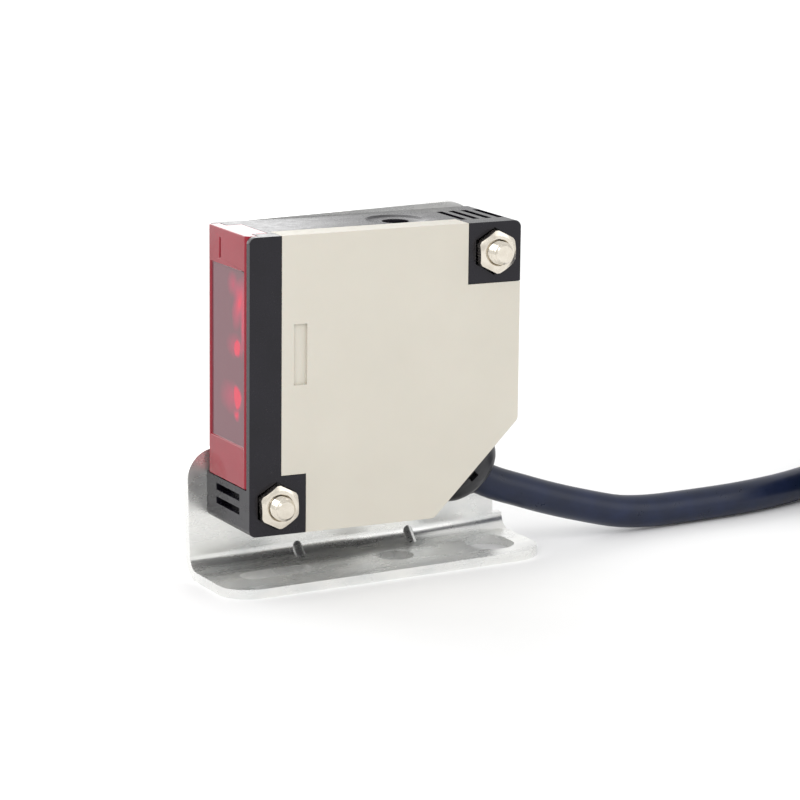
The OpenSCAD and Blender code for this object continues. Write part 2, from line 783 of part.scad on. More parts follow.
module mount_nuts() {
    z0 = nut_seat - nut_h;
    color(nickel) at_screws() difference() {
        intersection() {
            translate([0, 0, z0]) rotate(90) cylinder(d = nut_af / cos(30), h = nut_h, $fn = 6);
            translate([0, 0, z0]) rotate_extrude() polygon([[0, 0], [nut_af / 2 * 0.96, 0],
                [nut_af * 0.58, 0.6], [nut_af * 0.58, nut_h], [0, nut_h]]);
        }
        translate([0, 0, z0 - 1]) cylinder(d = screw_d + 0.04, h = nut_h + 2);
        translate([0, 0, z0 - e]) cylinder(d1 = screw_d + 0.8, d2 = screw_d, h = 0.4);
    }
}

module flat_washers() {
    color(nickel) at_screws() translate([0, 0, plate_back]) difference() {
        cylinder(d = washer_od, h = washer_t);
        translate([0, 0, -1]) cylinder(d = screw_d + 0.3, h = washer_t + 2);
    }
}

module spring_washers() {
    color(nickel) at_screws() translate([0, 0, plate_back + washer_t]) difference() {
        cylinder(d = spring_od, h = spring_t);
        translate([0, 0, -1]) cylinder(d = screw_d + 0.1, h = spring_t + 2);
        // split of the spring washer
        rotate([0, 0, 60]) translate([0, -0.3, -1]) rotate([20, 0, 0]) cube([6, 0.6, 4]);
    }
}

// ---- free lead ----

module lead_cord() {
    color(navy) tube(lead_pts, lead_d, 10,
        [cos(outlet_angle + rest_tilt), 0, -sin(outlet_angle + rest_tilt)]);
}

module hank_outline(r) {
    for (x = [0, hank_run]) translate([x, 0]) circle(r);
    translate([0, -r]) square([hank_run, 2 * r]);
}

module lead_hank() {
    color(navy) translate([hank_at[0], hank_at[1], hank_z[0]]) difference() {
        linear_extrude(hank_z[1] - hank_z[0]) difference() {
            hank_outline(hank_r[1]);
            hank_outline(hank_r[0]);
        }
        // room for the tie under one side
        translate([tie_x - tie_w / 2 - 0.2, -hank_r[1] - 1, -1])
            cube([tie_w + 0.4, hank_r[1] - hank_r[0] + 2, 1 + tie_t]);
    }
}

module lead_tail() {
    color(navy) tube(tail_pts, lead_d);
}

module hank_tie() {
    lo = [-hank_r[1] - 0.1, hank_z[0] + tie_t - 0.04];
    hi = [-hank_r[0] + 0.1, hank_z[1] + 0.05];
    color([0.85, 0.86, 0.84]) translate([hank_at[0] + tie_x - tie_w / 2, hank_at[1], 0]) {
        rotate([90, 0, 90]) linear_extrude(tie_w) difference() {
            translate(lo - [tie_t, tie_t]) square(hi - lo + [2 * tie_t, 2 * tie_t]);
            translate(lo) square(hi - lo);
        }
        // head of the tie
        translate([-0.8, lo[0] + 3, hi[1] + tie_t]) cube([tie_w + 1.6, 5, 3.4]);
    }
}

function core_at(k, i) = [hank_at[0], hank_at[1], 0] + core_turn[k]
    + (k == 0 ? core_start[i][0] : (i - 2) * core_spread[k]) * core_side
    + [0, 0, k == 0 ? core_start[i][1] : 0];
function core_pts(i) = [for (k = [0:3]) core_at(k, i)];

module core(i) {
    tube(core_pts(i), core_d, 8);
}

module core_brown() {
    color([0.35, 0.2, 0.12]) core(0);
}

module core_blue() {
    color([0.1, 0.25, 0.6]) core(1);
}

module core_black() {
    color([0.06, 0.06, 0.06]) core(2);
}

module core_white() {
    color([0.9, 0.9, 0.88]) core(3);
}

module core_grey() {
    color([0.5, 0.5, 0.52]) core(4);
}

module core_tips() {
    color([0.8, 0.8, 0.82]) for (i = [0:4]) {
        p = core_pts(i);
        t = unit(p[3] - p[2]);
        tube([p[3] + 0.01 * t, p[3] + tip_l * t], core_d - 0.6, 8);
    }
}

bracket();
case();
side_cover();
cover_seal();
front_window();
window_seal();
emitter_lens();
receiver_lens();
optical_block();
emitter_led();
receiver_diode();
light_guide();
indicator_led();
optics_board();
main_board();
board_screws();
board_connector();
relay();
supply_capacitor();
film_capacitor();
choke();
control_ic();
adjuster_base();
adjuster_knob();
gland();
cord_clamp();
inner_cord();
core_wires();
mount_screws();
mount_nuts();
flat_washers();
spring_washers();
lead_cord();
lead_hank();
lead_tail();
hank_tie();
core_brown();
core_blue();
core_black();
core_white();
core_grey();
core_tips();
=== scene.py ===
"""Looks for the square photoelectric sensor on its slotted L bracket.

Everything is in metres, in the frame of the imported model: the red window looks along -X,
the nut side faces -Y, and the bracket stands on z = 0.
"""

import json
import math

import bmesh
import bpy
from mathutils import Matrix, Vector


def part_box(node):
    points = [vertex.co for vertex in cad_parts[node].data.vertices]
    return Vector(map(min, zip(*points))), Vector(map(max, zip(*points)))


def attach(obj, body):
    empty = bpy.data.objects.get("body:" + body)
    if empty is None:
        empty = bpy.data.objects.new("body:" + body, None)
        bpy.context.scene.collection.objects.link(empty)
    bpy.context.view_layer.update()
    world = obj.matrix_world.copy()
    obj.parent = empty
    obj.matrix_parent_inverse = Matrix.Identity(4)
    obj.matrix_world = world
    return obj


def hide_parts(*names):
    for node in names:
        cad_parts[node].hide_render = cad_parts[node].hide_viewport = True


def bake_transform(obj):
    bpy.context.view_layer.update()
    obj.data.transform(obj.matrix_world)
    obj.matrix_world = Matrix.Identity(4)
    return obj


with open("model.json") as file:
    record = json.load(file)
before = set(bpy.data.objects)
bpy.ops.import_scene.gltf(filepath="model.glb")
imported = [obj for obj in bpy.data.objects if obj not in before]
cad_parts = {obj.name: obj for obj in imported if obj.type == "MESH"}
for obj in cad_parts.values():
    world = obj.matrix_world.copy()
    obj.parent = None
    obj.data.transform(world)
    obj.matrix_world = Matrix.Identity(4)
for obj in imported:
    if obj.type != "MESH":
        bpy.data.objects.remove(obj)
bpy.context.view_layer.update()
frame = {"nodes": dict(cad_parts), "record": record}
MM = 0.001
# the sensor sits with its window end raised by this angle about the upper screw
TILT = math.radians(1.5)
# corner of the sensor's own frame in the level bracket's frame, and the upper screw in the sensor's
BODY_AT = Vector((-0.0254, -0.0101, 0.0094))
PIVOT = (45, 45)


# ---- camera ----

def place_camera():
    """A long lens, a little above the sensor and round towards its window side."""
    pivot = Vector((BODY_AT.x + PIVOT[0] * MM, 0, BODY_AT.z + PIVOT[1] * MM))
    level = Matrix.Translation(pivot) @ Matrix.Rotation(TILT, 4, "Y") @ Matrix.Translation(-pivot)
    turn, rise, roll = (math.radians(d) for d in (-26.80, 11.74, 0.59))
    back = Vector((math.sin(turn) * math.cos(rise), -math.cos(turn) * math.cos(rise),
                   math.sin(rise)))
    right = Vector((math.cos(turn), math.sin(turn), 0))
    up = back.cross(right)
    side = right * math.cos(roll) + up * math.sin(roll)
    top = up * math.cos(roll) - right * math.sin(roll)
    data = bpy.data.cameras.new("camera")
    data.lens = 155.75
    data.sensor_width = 36
    data.clip_start = 0.02
    data.clip_end = 20
    camera = bpy.data.objects.new("camera", data)
    camera.matrix_world = (level @ Matrix.Translation((-0.25290, -0.51500, 0.14790))
                           @ Matrix((side, top, back)).transposed().to_4x4())
    bpy.context.collection.objects.link(camera)
    bpy.context.scene.camera = camera


place_camera()


# ---- meshes ----

def new_object(name, verts, faces, smooth=True):
    """A mesh object from points in metres, with its faces turned outwards."""
    mesh = bpy.data.meshes.new(name)
    mesh.from_pydata([tuple(v) for v in verts], [], faces)
    work = bmesh.new()
    work.from_mesh(mesh)
    bmesh.ops.recalc_face_normals(work, faces=work.faces)
    work.to_mesh(mesh)
    work.free()
    mesh.polygons.foreach_set("use_smooth", [smooth] * len(mesh.polygons))
    obj = bpy.data.objects.new(name, mesh)
    bpy.context.collection.objects.link(obj)
    return obj


def apply_modifiers(obj):
    """Bakes an object's modifiers into its mesh."""
    bpy.context.view_layer.update()
    graph = bpy.context.evaluated_depsgraph_get()
    mesh = bpy.data.meshes.new_from_object(obj.evaluated_get(graph))
    obj.modifiers.clear()
    obj.data = mesh
    return obj


def sharpen(obj, degrees=40):
    """Smooth faces with crisp edges where they turn by more than this angle."""
    obj.data.polygons.foreach_set("use_smooth", [True] * len(obj.data.polygons))
    obj.data.set_sharp_from_angle(angle=math.radians(degrees))
    return obj


def rounded(node, edge_mm, segments=2, angle=32):
    """A finer copy of a CAD node: its facets joined and its edges rounded."""
    obj = bpy.data.objects.new(node + "_piece", frame["nodes"][node].data.copy())
    bpy.context.collection.objects.link(obj)
    obj.data.materials.clear()
    work = bmesh.new()
    work.from_mesh(obj.data)
    bmesh.ops.remove_doubles(work, verts=work.verts, dist=1e-6)
    bmesh.ops.dissolve_limit(work, angle_limit=math.radians(0.6), verts=work.verts,
                             edges=work.edges)
    # a bevel round a large face with holes can turn over, and one round triangles doesn't
    bmesh.ops.triangulate(work, faces=[f for f in work.faces if len(f.verts) > 4])
    bmesh.ops.recalc_face_normals(work, faces=work.faces)
    work.to_mesh(obj.data)
    work.free()
    if edge_mm:
        bevel = obj.modifiers.new("edges", "BEVEL")
        bevel.width = edge_mm * MM
        bevel.segments = segments
        bevel.limit_method = "ANGLE"
        bevel.angle_limit = math.radians(angle)
        bevel.miter_outer = "MITER_ARC"
        bevel.use_clamp_overlap = True
        bevel.harden_normals = False
        apply_modifiers(obj)
    sharpen(obj, 38)
    even = obj.modifiers.new("even", "WEIGHTED_NORMAL")
    even.keep_sharp = True
    apply_modifiers(obj)
    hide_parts(node)
    return obj


def frames_along(points):
    """A steady pair of side directions at each point of a line, without twist."""
    last = len(points) - 1
    heads = [(points[min(i + 1, last)] - points[max(i - 1, 0)]).normalized()
             for i in range(last + 1)]
    side = heads[0].cross(Vector((0, 0, 1)))
    if side.length < 0.1:
        side = heads[0].cross(Vector((0, 1, 0)))
    pairs = []
    for head in heads:
        side = (side - head * side.dot(head)).normalized()
        pairs.append((side, side.cross(head)))
    return pairs


def skin(count, n, closed=False):
    """Quads between count rings of n points each; closed joins the last ring to the first."""
    quads = []
    for i in range(count if closed else count - 1):
        here, ahead = i * n, (i + 1) % count * n
        quads += [(here + k, here + (k + 1) % n, ahead + (k + 1) % n, ahead + k) for k in range(n)]
    return quads


def caps(count, n):
    """Faces over the first and last of count rings of n points."""
    return [tuple(range(n)), tuple(range((count - 1) * n, count * n))]


def sweep(name, points, outline):
    """Sweeps a closed outline of (across, up) pairs in metres along a line of points."""
    points = [Vector(p) for p in points]
    verts = []
    for p, (side, up) in zip(points, frames_along(points)):
        verts += [p + side * a + up * b for a, b in outline]
    faces = skin(len(points), len(outline)) + caps(len(points), len(outline))
    return sharpen(new_object(name, verts, faces), 50)


def circle(radius, sides):
    """A round outline for sweep."""
    return [(radius * math.cos(2 * math.pi * k / sides), radius * math.sin(2 * math.pi * k / sides))
            for k in range(sides)]


def turned(name, profile, place, steps=48):
    """Turns a closed profile of (radius, height) pairs about z, then moves it by a matrix."""
    angles = [2 * math.pi * k / steps for k in range(steps)]
    verts = [place @ Vector((r * math.cos(a), r * math.sin(a), z))
             for a in angles for r, z in profile]
    return sharpen(new_object(name, verts, skin(steps, len(profile), True)), 35)


def join(name, pieces):
    """Joins objects into one, keeping each one's materials."""
    with bpy.context.temp_override(active_object=pieces[0], selected_editable_objects=pieces):
        bpy.ops.object.join()
    pieces[0].name = name
    return pieces[0]


def smooth_line(points, step):
    """A smooth curve through the points, sampled about every step metres."""
    points = [Vector(p) for p in points]
    ends = [points[0] * 2 - points[1]] + points + [points[-1] * 2 - points[-2]]
    line = []
    for a, b, c, d in zip(ends, ends[1:], ends[2:], ends[3:]):
        count = max(2, round((c - b).length / step))
        for i in range(count):
            t = i / count
            line.append(b + ((c - a) * t + (2 * a - 5 * b + 4 * c - d) * t * t
                             + (3 * b - a - 3 * c + d) * t ** 3) / 2)
    return line + [points[-1]]


# ---- the lead ----

LEAD_R = 0.0029
LEAD_Y = -0.0014
# the lead leaves the gland this far below level
OUTLET = math.radians(26) + TILT
# the free lead along x: distance along x, sideways from LEAD_Y, height
LEAD_POINTS = [
    (0.022507, 0, 0.01261), (0.025007, 0, 0.01151), (0.028807, 0, 0.01011),
    (0.032807, 0, 0.00861), (0.036907, 0, 0.00721), (0.0408, 0, 0.0060),
    (0.0449, 0, 0.0048), (0.049, 0, 0.0038), (0.055, 0, 0.00315),
    (0.064, 0.0001, 0.0030), (0.074, 0.0005, 0.0030), (0.084, 0.0024, 0.0030),
    (0.094, 0.0060, 0.0030), (0.104, 0.0098, 0.0030), (0.112, 0.0121, 0.0030)]
# how far the jacket runs on into the gland
JACKET_IN = 0.0032
# the hank, in millimetres: middle of its first bend, length of its runs, radii of its two columns
HANK_AT = (119.5, -12.5)
HANK_RUN = 67
WIDE, NARROW = 24, 18
# height of the lowest run's middle, from run to run, and where the tie goes round
LOWEST = 3.0
PITCH = 5.9
TIE_X = 33.5


def hank_z(layer, x):
    """Height of a run; the layers sag on to each other and lift a little over the tie."""
    bell = math.exp(-((x - TIE_X) / 15) ** 2)
    return LOWEST + PITCH * layer + bell * (0.68 - 0.11 * layer)


def eased(t):
    """0 to 1 with a soft start and a soft stop."""
    t = min(1, max(0, t))
    return t * t * (3 - 2 * t)


def hank_line():
    """Seven turns: up the outer column, then down inside it."""
    points = []

    def run(ahead, layer, start, stop):
        """One straight run, +x on the far side and -x on the near side."""
        for k in range(17):
            t = k / 16
            x = HANK_RUN * (t if ahead else 1 - t)
            radius = start + (stop - start) * eased(t * 1.3 - 0.15)
            z = LOWEST + PITCH * layer if ahead else hank_z(layer, x)
            points.append((x, radius if ahead else -radius, z))

    def bend(at_end, radius, low, high, share=1.0):
        """Half a turn round one end, changing layer over the first share of it."""
        for k in range(1, 24):
            a = math.radians(90 - 180 * k / 24 if at_end else -90 - 180 * k / 24)
            z = LOWEST + PITCH * (low + (high - low) * eased(k / 24 / share))
            points.append(((HANK_RUN if at_end else 0) + radius * math.cos(a),
                           radius * math.sin(a), z))

    for layer in (0, 1, 2):
        run(True, layer, WIDE, WIDE)
        bend(True, WIDE, layer, layer)
        run(False, layer, WIDE, WIDE)
        bend(False, WIDE, layer, layer + 1, 0.62)
    run(True, 3, WIDE, WIDE)
    bend(True, WIDE, 3, 3)
    run(False, 3, WIDE, NARROW)
    bend(False, NARROW, 3, 3)
    for layer in (3, 2, 1):
        run(True, layer, NARROW, NARROW)
        bend(True, NARROW, layer, layer - 1)
        run(False, layer - 1, NARROW, NARROW)
        bend(False, NARROW, layer - 1, layer - 1)
    points += [(0, 18, 3), (2, 17.9, 3), (10, 16.9, 3), (18, 14.4, 3), (26, 11, 3), (34, 7.5, 3)]
    return [Vector(((HANK_AT[0] + x) * MM, (HANK_AT[1] + y) * MM, z * MM)) for x, y, z in points]


def make_lead():
    """The whole lead in one piece: free stretch, hank and the tail that the cores leave."""
    start = [Vector((x, LEAD_Y + y, z)) for x, y, z in LEAD_POINTS]
    # the jacket runs on into the gland, over the thinner inner piece
    inside = start[0] - (Vector((math.cos(OUTLET), 0, -math.sin(OUTLET))) * JACKET_IN)
    path = smooth_line([inside] + start + hank_line(), 0.0022)
    lead = sweep("lead", path, circle(LEAD_R, 20))
    length = sum((b - a).length for a, b in zip(path, path[1:]))
    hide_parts("lead_cord", "lead_hank", "lead_tail")
    return lead, path, length


def make_cores():
    """Five stripped cores that leave the jacket in a ring and fan out flat inside the hank."""
    starts = [(-1.43, -0.46), (-0.88, 1.21), (0, -1.5), (0.88, 1.21), (1.43, -0.46)]
    way = [(34, 7.5, 3, 0), (40.4, 4.7, 1.7, 1.55), (47.7, 1.5, 0.75, 2.0), (56, -2, 0.72, 2.4)]
    side = Vector((0.4, 0.916, 0))
    cores, tips = [], []
    for i, colour in enumerate(("brown", "blue", "black", "white", "grey")):
        line = []
        for k, (x, y, z, spread) in enumerate(way):
            across = starts[i][0] if k == 0 else (i - 2) * spread
            height = z + (starts[i][1] if k == 0 else 0)
            line.append((Vector((HANK_AT[0] + x, HANK_AT[1] + y, height)) + side * across) * MM)
        core = sweep("core_%s_wire" % colour, smooth_line(line, 0.0006), circle(0.7 * MM, 16))
        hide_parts("core_" + colour)
        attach(core, "bracket")
        cores.append(core)
        ahead = (line[-1] - line[-2]).normalized()
        ahead.z = 0
        tips.append(twisted_end("tip_%d" % i, line[-1] - ahead * 0.0004, line[-1] + ahead * 0.005))
    tip = join("core_tips_strands", tips)
    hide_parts("core_tips")
    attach(tip, "bracket")
    return cores, tip


def twisted_end(name, start, stop):
    """A tinned end of seven strands, lightly twisted and closed with solder."""
    ahead = (stop - start).normalized()
    side = ahead.cross(Vector((0, 0, 1))).normalized()
    up = side.cross(ahead)
    verts = []
    rings, n, shoulder, core_r, strand_r, twist = 26, 28, 0.92, 0.355, 0.045, 2.2
    for i in range(rings):
        t = i / (rings - 1)
        taper = 1
        if t >= shoulder:
            taper = math.sqrt(max(0.02, 1 - ((t - shoulder) / (1 - shoulder)) ** 2))
        middle = start + ahead * (t * (stop - start).length)
        for k in range(n):
            a = 2 * math.pi * k / n
            r = (core_r + strand_r * abs(math.cos(3 * (a + twist * t)))) * MM * taper
            verts.append(middle + side * (r * math.cos(a)) + up * (r * math.sin(a)))
    return new_object(name, verts, skin(rings, n) + caps(rings, n))


def make_tie():
    """Nylon tie round the hank's near side, with its head on top and the strap cut short."""
    centre = Vector((HANK_AT[0] + TIE_X, HANK_AT[1], 0)) * MM

    def at(y, z, x=0.0):
        return centre + Vector((x, y, z)) * MM

    low_y, high_y, low_z, high_z, bend = -27.45, -14.55, 0.41, 24.3, 2.6
    corners = [(high_y - bend, high_z - bend, 90), (low_y + bend, high_z - bend, 180),
               (low_y + bend, low_z + bend, 270), (high_y - bend, low_z + bend, 360)]
    loop = []
    for y, z, stop in corners:
        for k in range(9):
            t = math.radians(stop - 90 + 90 * k / 8)
            loop.append((y + bend * math.cos(t), z + bend * math.sin(t)))
    # the strap's section: flat inside, with raised rims outside
    section = ((-2, -0.22), (-1.75, -0.32), (1.75, -0.32), (2, -0.22), (2, 0.2), (1.75, 0.33),
               (1.2, 0.33), (1.05, 0.22), (-1.05, 0.22), (-1.2, 0.33), (-1.75, 0.33), (-2, 0.2))
    verts = []
    for i, (y, z) in enumerate(loop):
        nxt, prv = loop[(i + 1) % len(loop)], loop[i - 1]
        d = Vector((nxt[0] - prv[0], nxt[1] - prv[1])).normalized()
        verts += [at(y + d.y * h, z - d.x * h, s) for s, h in section]
    band = sharpen(new_object("tie_band", verts, skin(len(loop), len(section), True)), 40)
    # head: a rounded block with a slot through it, and the stub of the strap
    x, y, z = Vector((MM, 0, 0)), Vector((0, MM, 0)), Vector((0, 0, MM))
    head = block("tie_head", at(-24.05, 24.55, -2.7), x * 5.4, y * 4.9, z * 3.4, 0.5)
    slot_cut = block("tie_slot", at(-25, 25.2, -2.1), x * 4.2, y * 7, z * 1.2, 0)
    cut_away(head, slot_cut)
    stub = block("tie_stub", at(-24.7, 25.25, -1.95), x * 3.9, y * 6.4, z * 1.0, 0.15)
    tie = join("hank_tie_strap", [band, head, stub])
    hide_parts("hank_tie")
    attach(tie, "bracket")
    return tie


def block(name, corner, x, y, z, edge_mm, segments=3):
    """A box from one corner and three edge directions, with rounded edges."""
    verts = [corner + x * i + y * j + z * k for k in (0, 1) for j in (0, 1) for i in (0, 1)]
    faces = [(0, 1, 3, 2), (4, 5, 7, 6), (0, 1, 5, 4), (2, 3, 7, 6), (0, 2, 6, 4), (1, 3, 7, 5)]
    obj = new_object(name, verts, faces)
    if edge_mm:
        bevel = obj.modifiers.new("edges", "BEVEL")
        bevel.width = edge_mm * MM
        bevel.segments = segments
        apply_modifiers(obj)
    return sharpen(obj, 40)


def cut_away(obj, *tools):
    """Takes the tools' shapes out of an object and removes the tools."""
    for tool in tools:
        cut = obj.modifiers.new("cut", "BOOLEAN")
        cut.operation = "DIFFERENCE"
        cut.solver = "EXACT"
        cut.object = tool
        apply_modifiers(obj)
        bpy.data.objects.remove(tool)
    return sharpen(obj, 40)


lead, lead_path, lead_length = make_lead()
core_pieces, tip_piece = make_cores()
tie_piece = make_tie()
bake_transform(lead)


# ---- fasteners ----

# The two screw axes: upper rear and lower front, both along Y
SCREWS_LOW, SCREWS_HIGH = (Vector(p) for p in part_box("mount_screws"))
HEAD_R = 4.0
AXES = [(SCREWS_LOW.x + HEAD_R * MM, SCREWS_LOW.z + HEAD_R * MM),
        (SCREWS_HIGH.x - HEAD_R * MM, SCREWS_HIGH.z - HEAD_R * MM)]


def along_y(x, y, z, spin=0):
    """Places something turned about z so that its z runs along +Y from this point."""
    return (Matrix.Translation((x, y, z)) @ Matrix.Rotation(math.radians(-90), 4, "X")
            @ Matrix.Rotation(math.radians(spin), 4, "Z"))


def make_screws():
    """M4 pan head screws: rolled thread, chamfered tip, cross recess in the head."""
    low_y, high_y = SCREWS_LOW.y / MM, SCREWS_HIGH.y / MM
    head_h = 2.8
    shank = high_y - low_y - head_h
    # thread: crest radius, depth, share of the pitch on the crest and down the flank
    crest_r, depth, crest, flank = 1.99, 0.36, 0.1, 0.75
    # chamfered tip: radius at its end and growth with height
    tip_r, tip_growth = 1.42, 0.9
    pieces = []
    for i, (x, z) in enumerate(AXES):
        place = along_y(x, SCREWS_LOW.y, z, 40 * i)
        verts = []
        pitch, steps, per = 0.7, 40, 10
        rows = int(shank / pitch * per)
        for k in range(rows + 1):
            h = shank * k / rows
            for s in range(steps):
                wave = abs(((h / pitch - s / steps) % 1) * 2 - 1)
                r = crest_r - depth * min(1, max(0, (wave - crest) / flank))
                r = min(r, tip_r + h * tip_growth)
                a = 2 * math.pi * s / steps
                verts.append(place @ Vector((r * MM * math.cos(a), r * MM * math.sin(a), h * MM)))
        faces = skin(rows + 1, steps) + caps(rows + 1, steps)
        thread = sharpen(new_object("thread_%d" % i, verts, faces), 45)
        # pan head: a flat bearing face, a steep rim and a low crown
        rim = [(0.05, 0), (3.9, 0), (4.0, 0.12), (4.0, 0.75)]
        crown = [(3.95, 1.1), (3.8, 1.55), (3.5, 1.95), (3.0, 2.3), (2.2, 2.58), (1.2, 2.75),
                 (0.05, 2.8)]
        head = turned("head_%d" % i, [(r * MM, h * MM) for r, h in rim + crown],
                      place @ Matrix.Translation((0, 0, shank * MM)), 56)
        arms = []
        for spin in (0, 90):
            turn = (place @ Matrix.Translation((0, 0, (shank + 1.3) * MM))
                    @ Matrix.Rotation(math.radians(spin), 4, "Z"))
            verts = [turn @ (Vector(p) * MM) for p in
                     ((-1.0, -0.42, 0), (1.0, -0.42, 0), (1.0, 0.42, 0), (-1.0, 0.42, 0),
                      (-2.3, -0.52, 2), (2.3, -0.52, 2), (2.3, 0.52, 2), (-2.3, 0.52, 2))]
            sides = [(0, 1, 2, 3), (4, 5, 6, 7), (0, 1, 5, 4), (1, 2, 6, 5), (2, 3, 7, 6),
                     (3, 0, 4, 7)]
            arms.append(new_object("arm", verts, sides))
        cut_away(head, *arms)
        pieces += [thread, head]
    return join("mount_screws_m4", pieces)


def make_nuts():
    """M4 hexagon nuts, their corners turned off well on both faces."""
    low, high = (Vector(p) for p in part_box("mount_nuts"))
    height = (high.y - low.y) / MM
    # half the width across flats, radius of the hole, where the corners' turning starts
    flat, hole, start = 3.3, 2.0, 2.9
    pieces = []
    for i, (x, z) in enumerate(AXES):
        place = along_y(x, low.y, z, math.degrees(-TILT))
        verts = []
        steps = 144
        for k in range(steps):
            a = math.radians(k * 360 / steps)
            r = flat / math.cos((a + math.pi / 6) % (math.pi / 3) - math.pi / 6)
            r = min(r, flat / math.cos(math.radians(25)))
            drop = (r - start) * math.tan(math.radians(30))
            profile = [(hole, 0.35), (hole + 0.3, 0), (start - 0.05, 0), (start, 0.02), (r, drop),
                       (r, height - drop), (start, height - 0.02), (start - 0.05, height),
                       (hole + 0.3, height), (hole, height - 0.35)]
            verts += [place @ Vector((q * MM * math.cos(a), q * MM * math.sin(a), h * MM))
                      for q, h in profile]
        nut = new_object("nut_%d" % i, verts, skin(steps, len(profile), True))
        pieces.append(sharpen(nut, 24))
    return join("mount_nuts_m4", pieces)


# ---- materials ----

# painted lens reflections in the window's zone: sideways from the middle and height, size, turn,
# strength
PAINTED_LENS_REFLECTIONS = [((-3.2, 22.7), (1.5, 2.1), 0, 2.6), ((-3.2, 30.8), (1.3, 1.7), 0, 2.4),
            ((-4.0, 38.6), (2.6, 5.4), 24, 1.1), ((-5.6, 35.0), (1.2, 6.5), 8, 0.9),
            ((-1.6, 41.2), (2.6, 2.4), 0, 0.6), ((-1.0, 22.2), (5.2, 3.0), 0, 0.55),
            ((-2.2, 31.2), (3.6, 2.4), 0, 0.5), ((-3.0, 19.6), (1.4, 1.3), 0, 1.2)]
# how far the painted reflections waver
WAVER = 0.0016


def in_body(x, z):
    """Model x and z, in metres, of a point given in the sensor's own frame in millimetres."""
    dx, dz = x - PIVOT[0], z - PIVOT[1]
    return (BODY_AT.x + (PIVOT[0] + dx * math.cos(TILT) + dz * math.sin(TILT)) * MM,
            BODY_AT.z + (PIVOT[1] - dx * math.sin(TILT) + dz * math.cos(TILT)) * MM)


def linear(code):
    """An sRGB hex colour as the linear values that the shader takes."""
    out = []
    for i in (0, 2, 4):
        c = int(code[i:i + 2], 16) / 255
        out.append(c / 12.92 if c <= 0.04045 else ((c + 0.055) / 1.055) ** 2.4)
    return (*out, 1.0)


def add(tree, kind, inputs=None, **fields):
    """Adds one node with its settings; an input is a value or the socket that feeds it."""
    node = tree.nodes.new(kind)
    for key, value in fields.items():
        setattr(node, key, value)
    for key, value in (inputs or {}).items():
        if isinstance(value, bpy.types.NodeSocket):
            tree.links.new(value, node.inputs[key])
        else:
            node.inputs[key].default_value = value
    return node


def material(name, colour, rough, metallic=0.0, **sockets):
    """A named material with its shader's own constants set; returns its tree and shader too."""
    mat = bpy.data.materials.new(name)
    mat.use_nodes = True
    tree = mat.node_tree
    shader = tree.nodes["Principled BSDF"]
    shader.inputs["Base Color"].default_value = linear(colour)
    shader.inputs["Roughness"].default_value = rough
    shader.inputs["Metallic"].default_value = metallic
    mat.diffuse_color = linear(colour)
    for key, value in sockets.items():
        shader.inputs[key.replace("_", " ")].default_value = value
    return mat, tree, shader


def mottle(tree, shader, colours, size_mm, stretch=(1, 1, 1), detail=4.0):
    """Colour that wanders between a few shades in patches of this size."""
    place = add(tree, "ShaderNodeTexCoord")
    scale = add(tree, "ShaderNodeMapping", {"Vector": place.outputs["Object"], "Scale": stretch})
    noise = add(tree, "ShaderNodeTexNoise", {"Vector": scale.outputs["Vector"],
                                             "Scale": 1000 / size_mm,
                                             "Detail": detail, "Roughness": 0.55})
    ramp = add(tree, "ShaderNodeValToRGB", {"Fac": noise.outputs["Fac"]})
    ramp.color_ramp.elements[0].position = 0.3
    ramp.color_ramp.elements[1].position = 0.7
    ramp.color_ramp.elements[0].color = linear(colours[0])
    ramp.color_ramp.elements[1].color = linear(colours[-1])
    for i, colour in enumerate(colours[1:-1]):
        stop = ramp.color_ramp.elements.new(0.3 + 0.4 * (i + 1) / (len(colours) - 1))
        stop.color = linear(colour)
    tree.links.new(ramp.outputs["Color"], shader.inputs["Base Color"])


def dull_patches(tree, shader, low, high, size_mm, stretch=(1, 1, 1)):
    """Roughness that changes between two values in patches of this size."""
    place = add(tree, "ShaderNodeTexCoord")
    scale = add(tree, "ShaderNodeMapping", {"Vector": place.outputs["Object"], "Scale": stretch})
    noise = add(tree, "ShaderNodeTexNoise", {"Vector": scale.outputs["Vector"],
                                             "Scale": 1000 / size_mm,
                                             "Detail": 5.0, "Roughness": 0.6})
    spread = add(tree, "ShaderNodeMapRange", {"Value": noise.outputs["Fac"],
                                              "From Min": 0.3, "From Max": 0.7,
                                              "To Min": low, "To Max": high})
    tree.links.new(spread.outputs["Result"], shader.inputs["Roughness"])


def grain(tree, shader, size_mm, depth_mm, stretch=(1, 1, 1), strength=1.0, detail=3.0):
    """Fine surface relief of this grain size and depth."""
    place = add(tree, "ShaderNodeTexCoord")
    scale = add(tree, "ShaderNodeMapping", {"Vector": place.outputs["Object"], "Scale": stretch})
    noise = add(tree, "ShaderNodeTexNoise", {"Vector": scale.outputs["Vector"],
                                             "Scale": 1000 / size_mm,
                                             "Detail": detail, "Roughness": 0.6})
    bump = add(tree, "ShaderNodeBump", {"Height": noise.outputs["Fac"], "Distance": depth_mm * MM,
                                        "Strength": strength})
    tree.links.new(bump.outputs["Normal"], shader.inputs["Normal"])


def bright_zinc():
    # electroplated zinc on cold rolled sheet: almost white under a pale passivation film, with
    # faint rolling streaks along the strip and slightly cloudy patches from the bath
    mat, tree, shader = material("bright_zinc_plated_sheet", "ECEDEC", 0.28, 0.84)
    mottle(tree, shader, ("E2E4E3", "EDEDEB", "F4F4F0"), 9, (1, 1.6, 1.6), 6.0)
    dull_patches(tree, shader, 0.2, 0.34, 5, (0.5, 1.6, 1.6))
    grain(tree, shader, 0.35, 0.003, (0.1, 1, 1), 0.5, 4.0)
    return mat


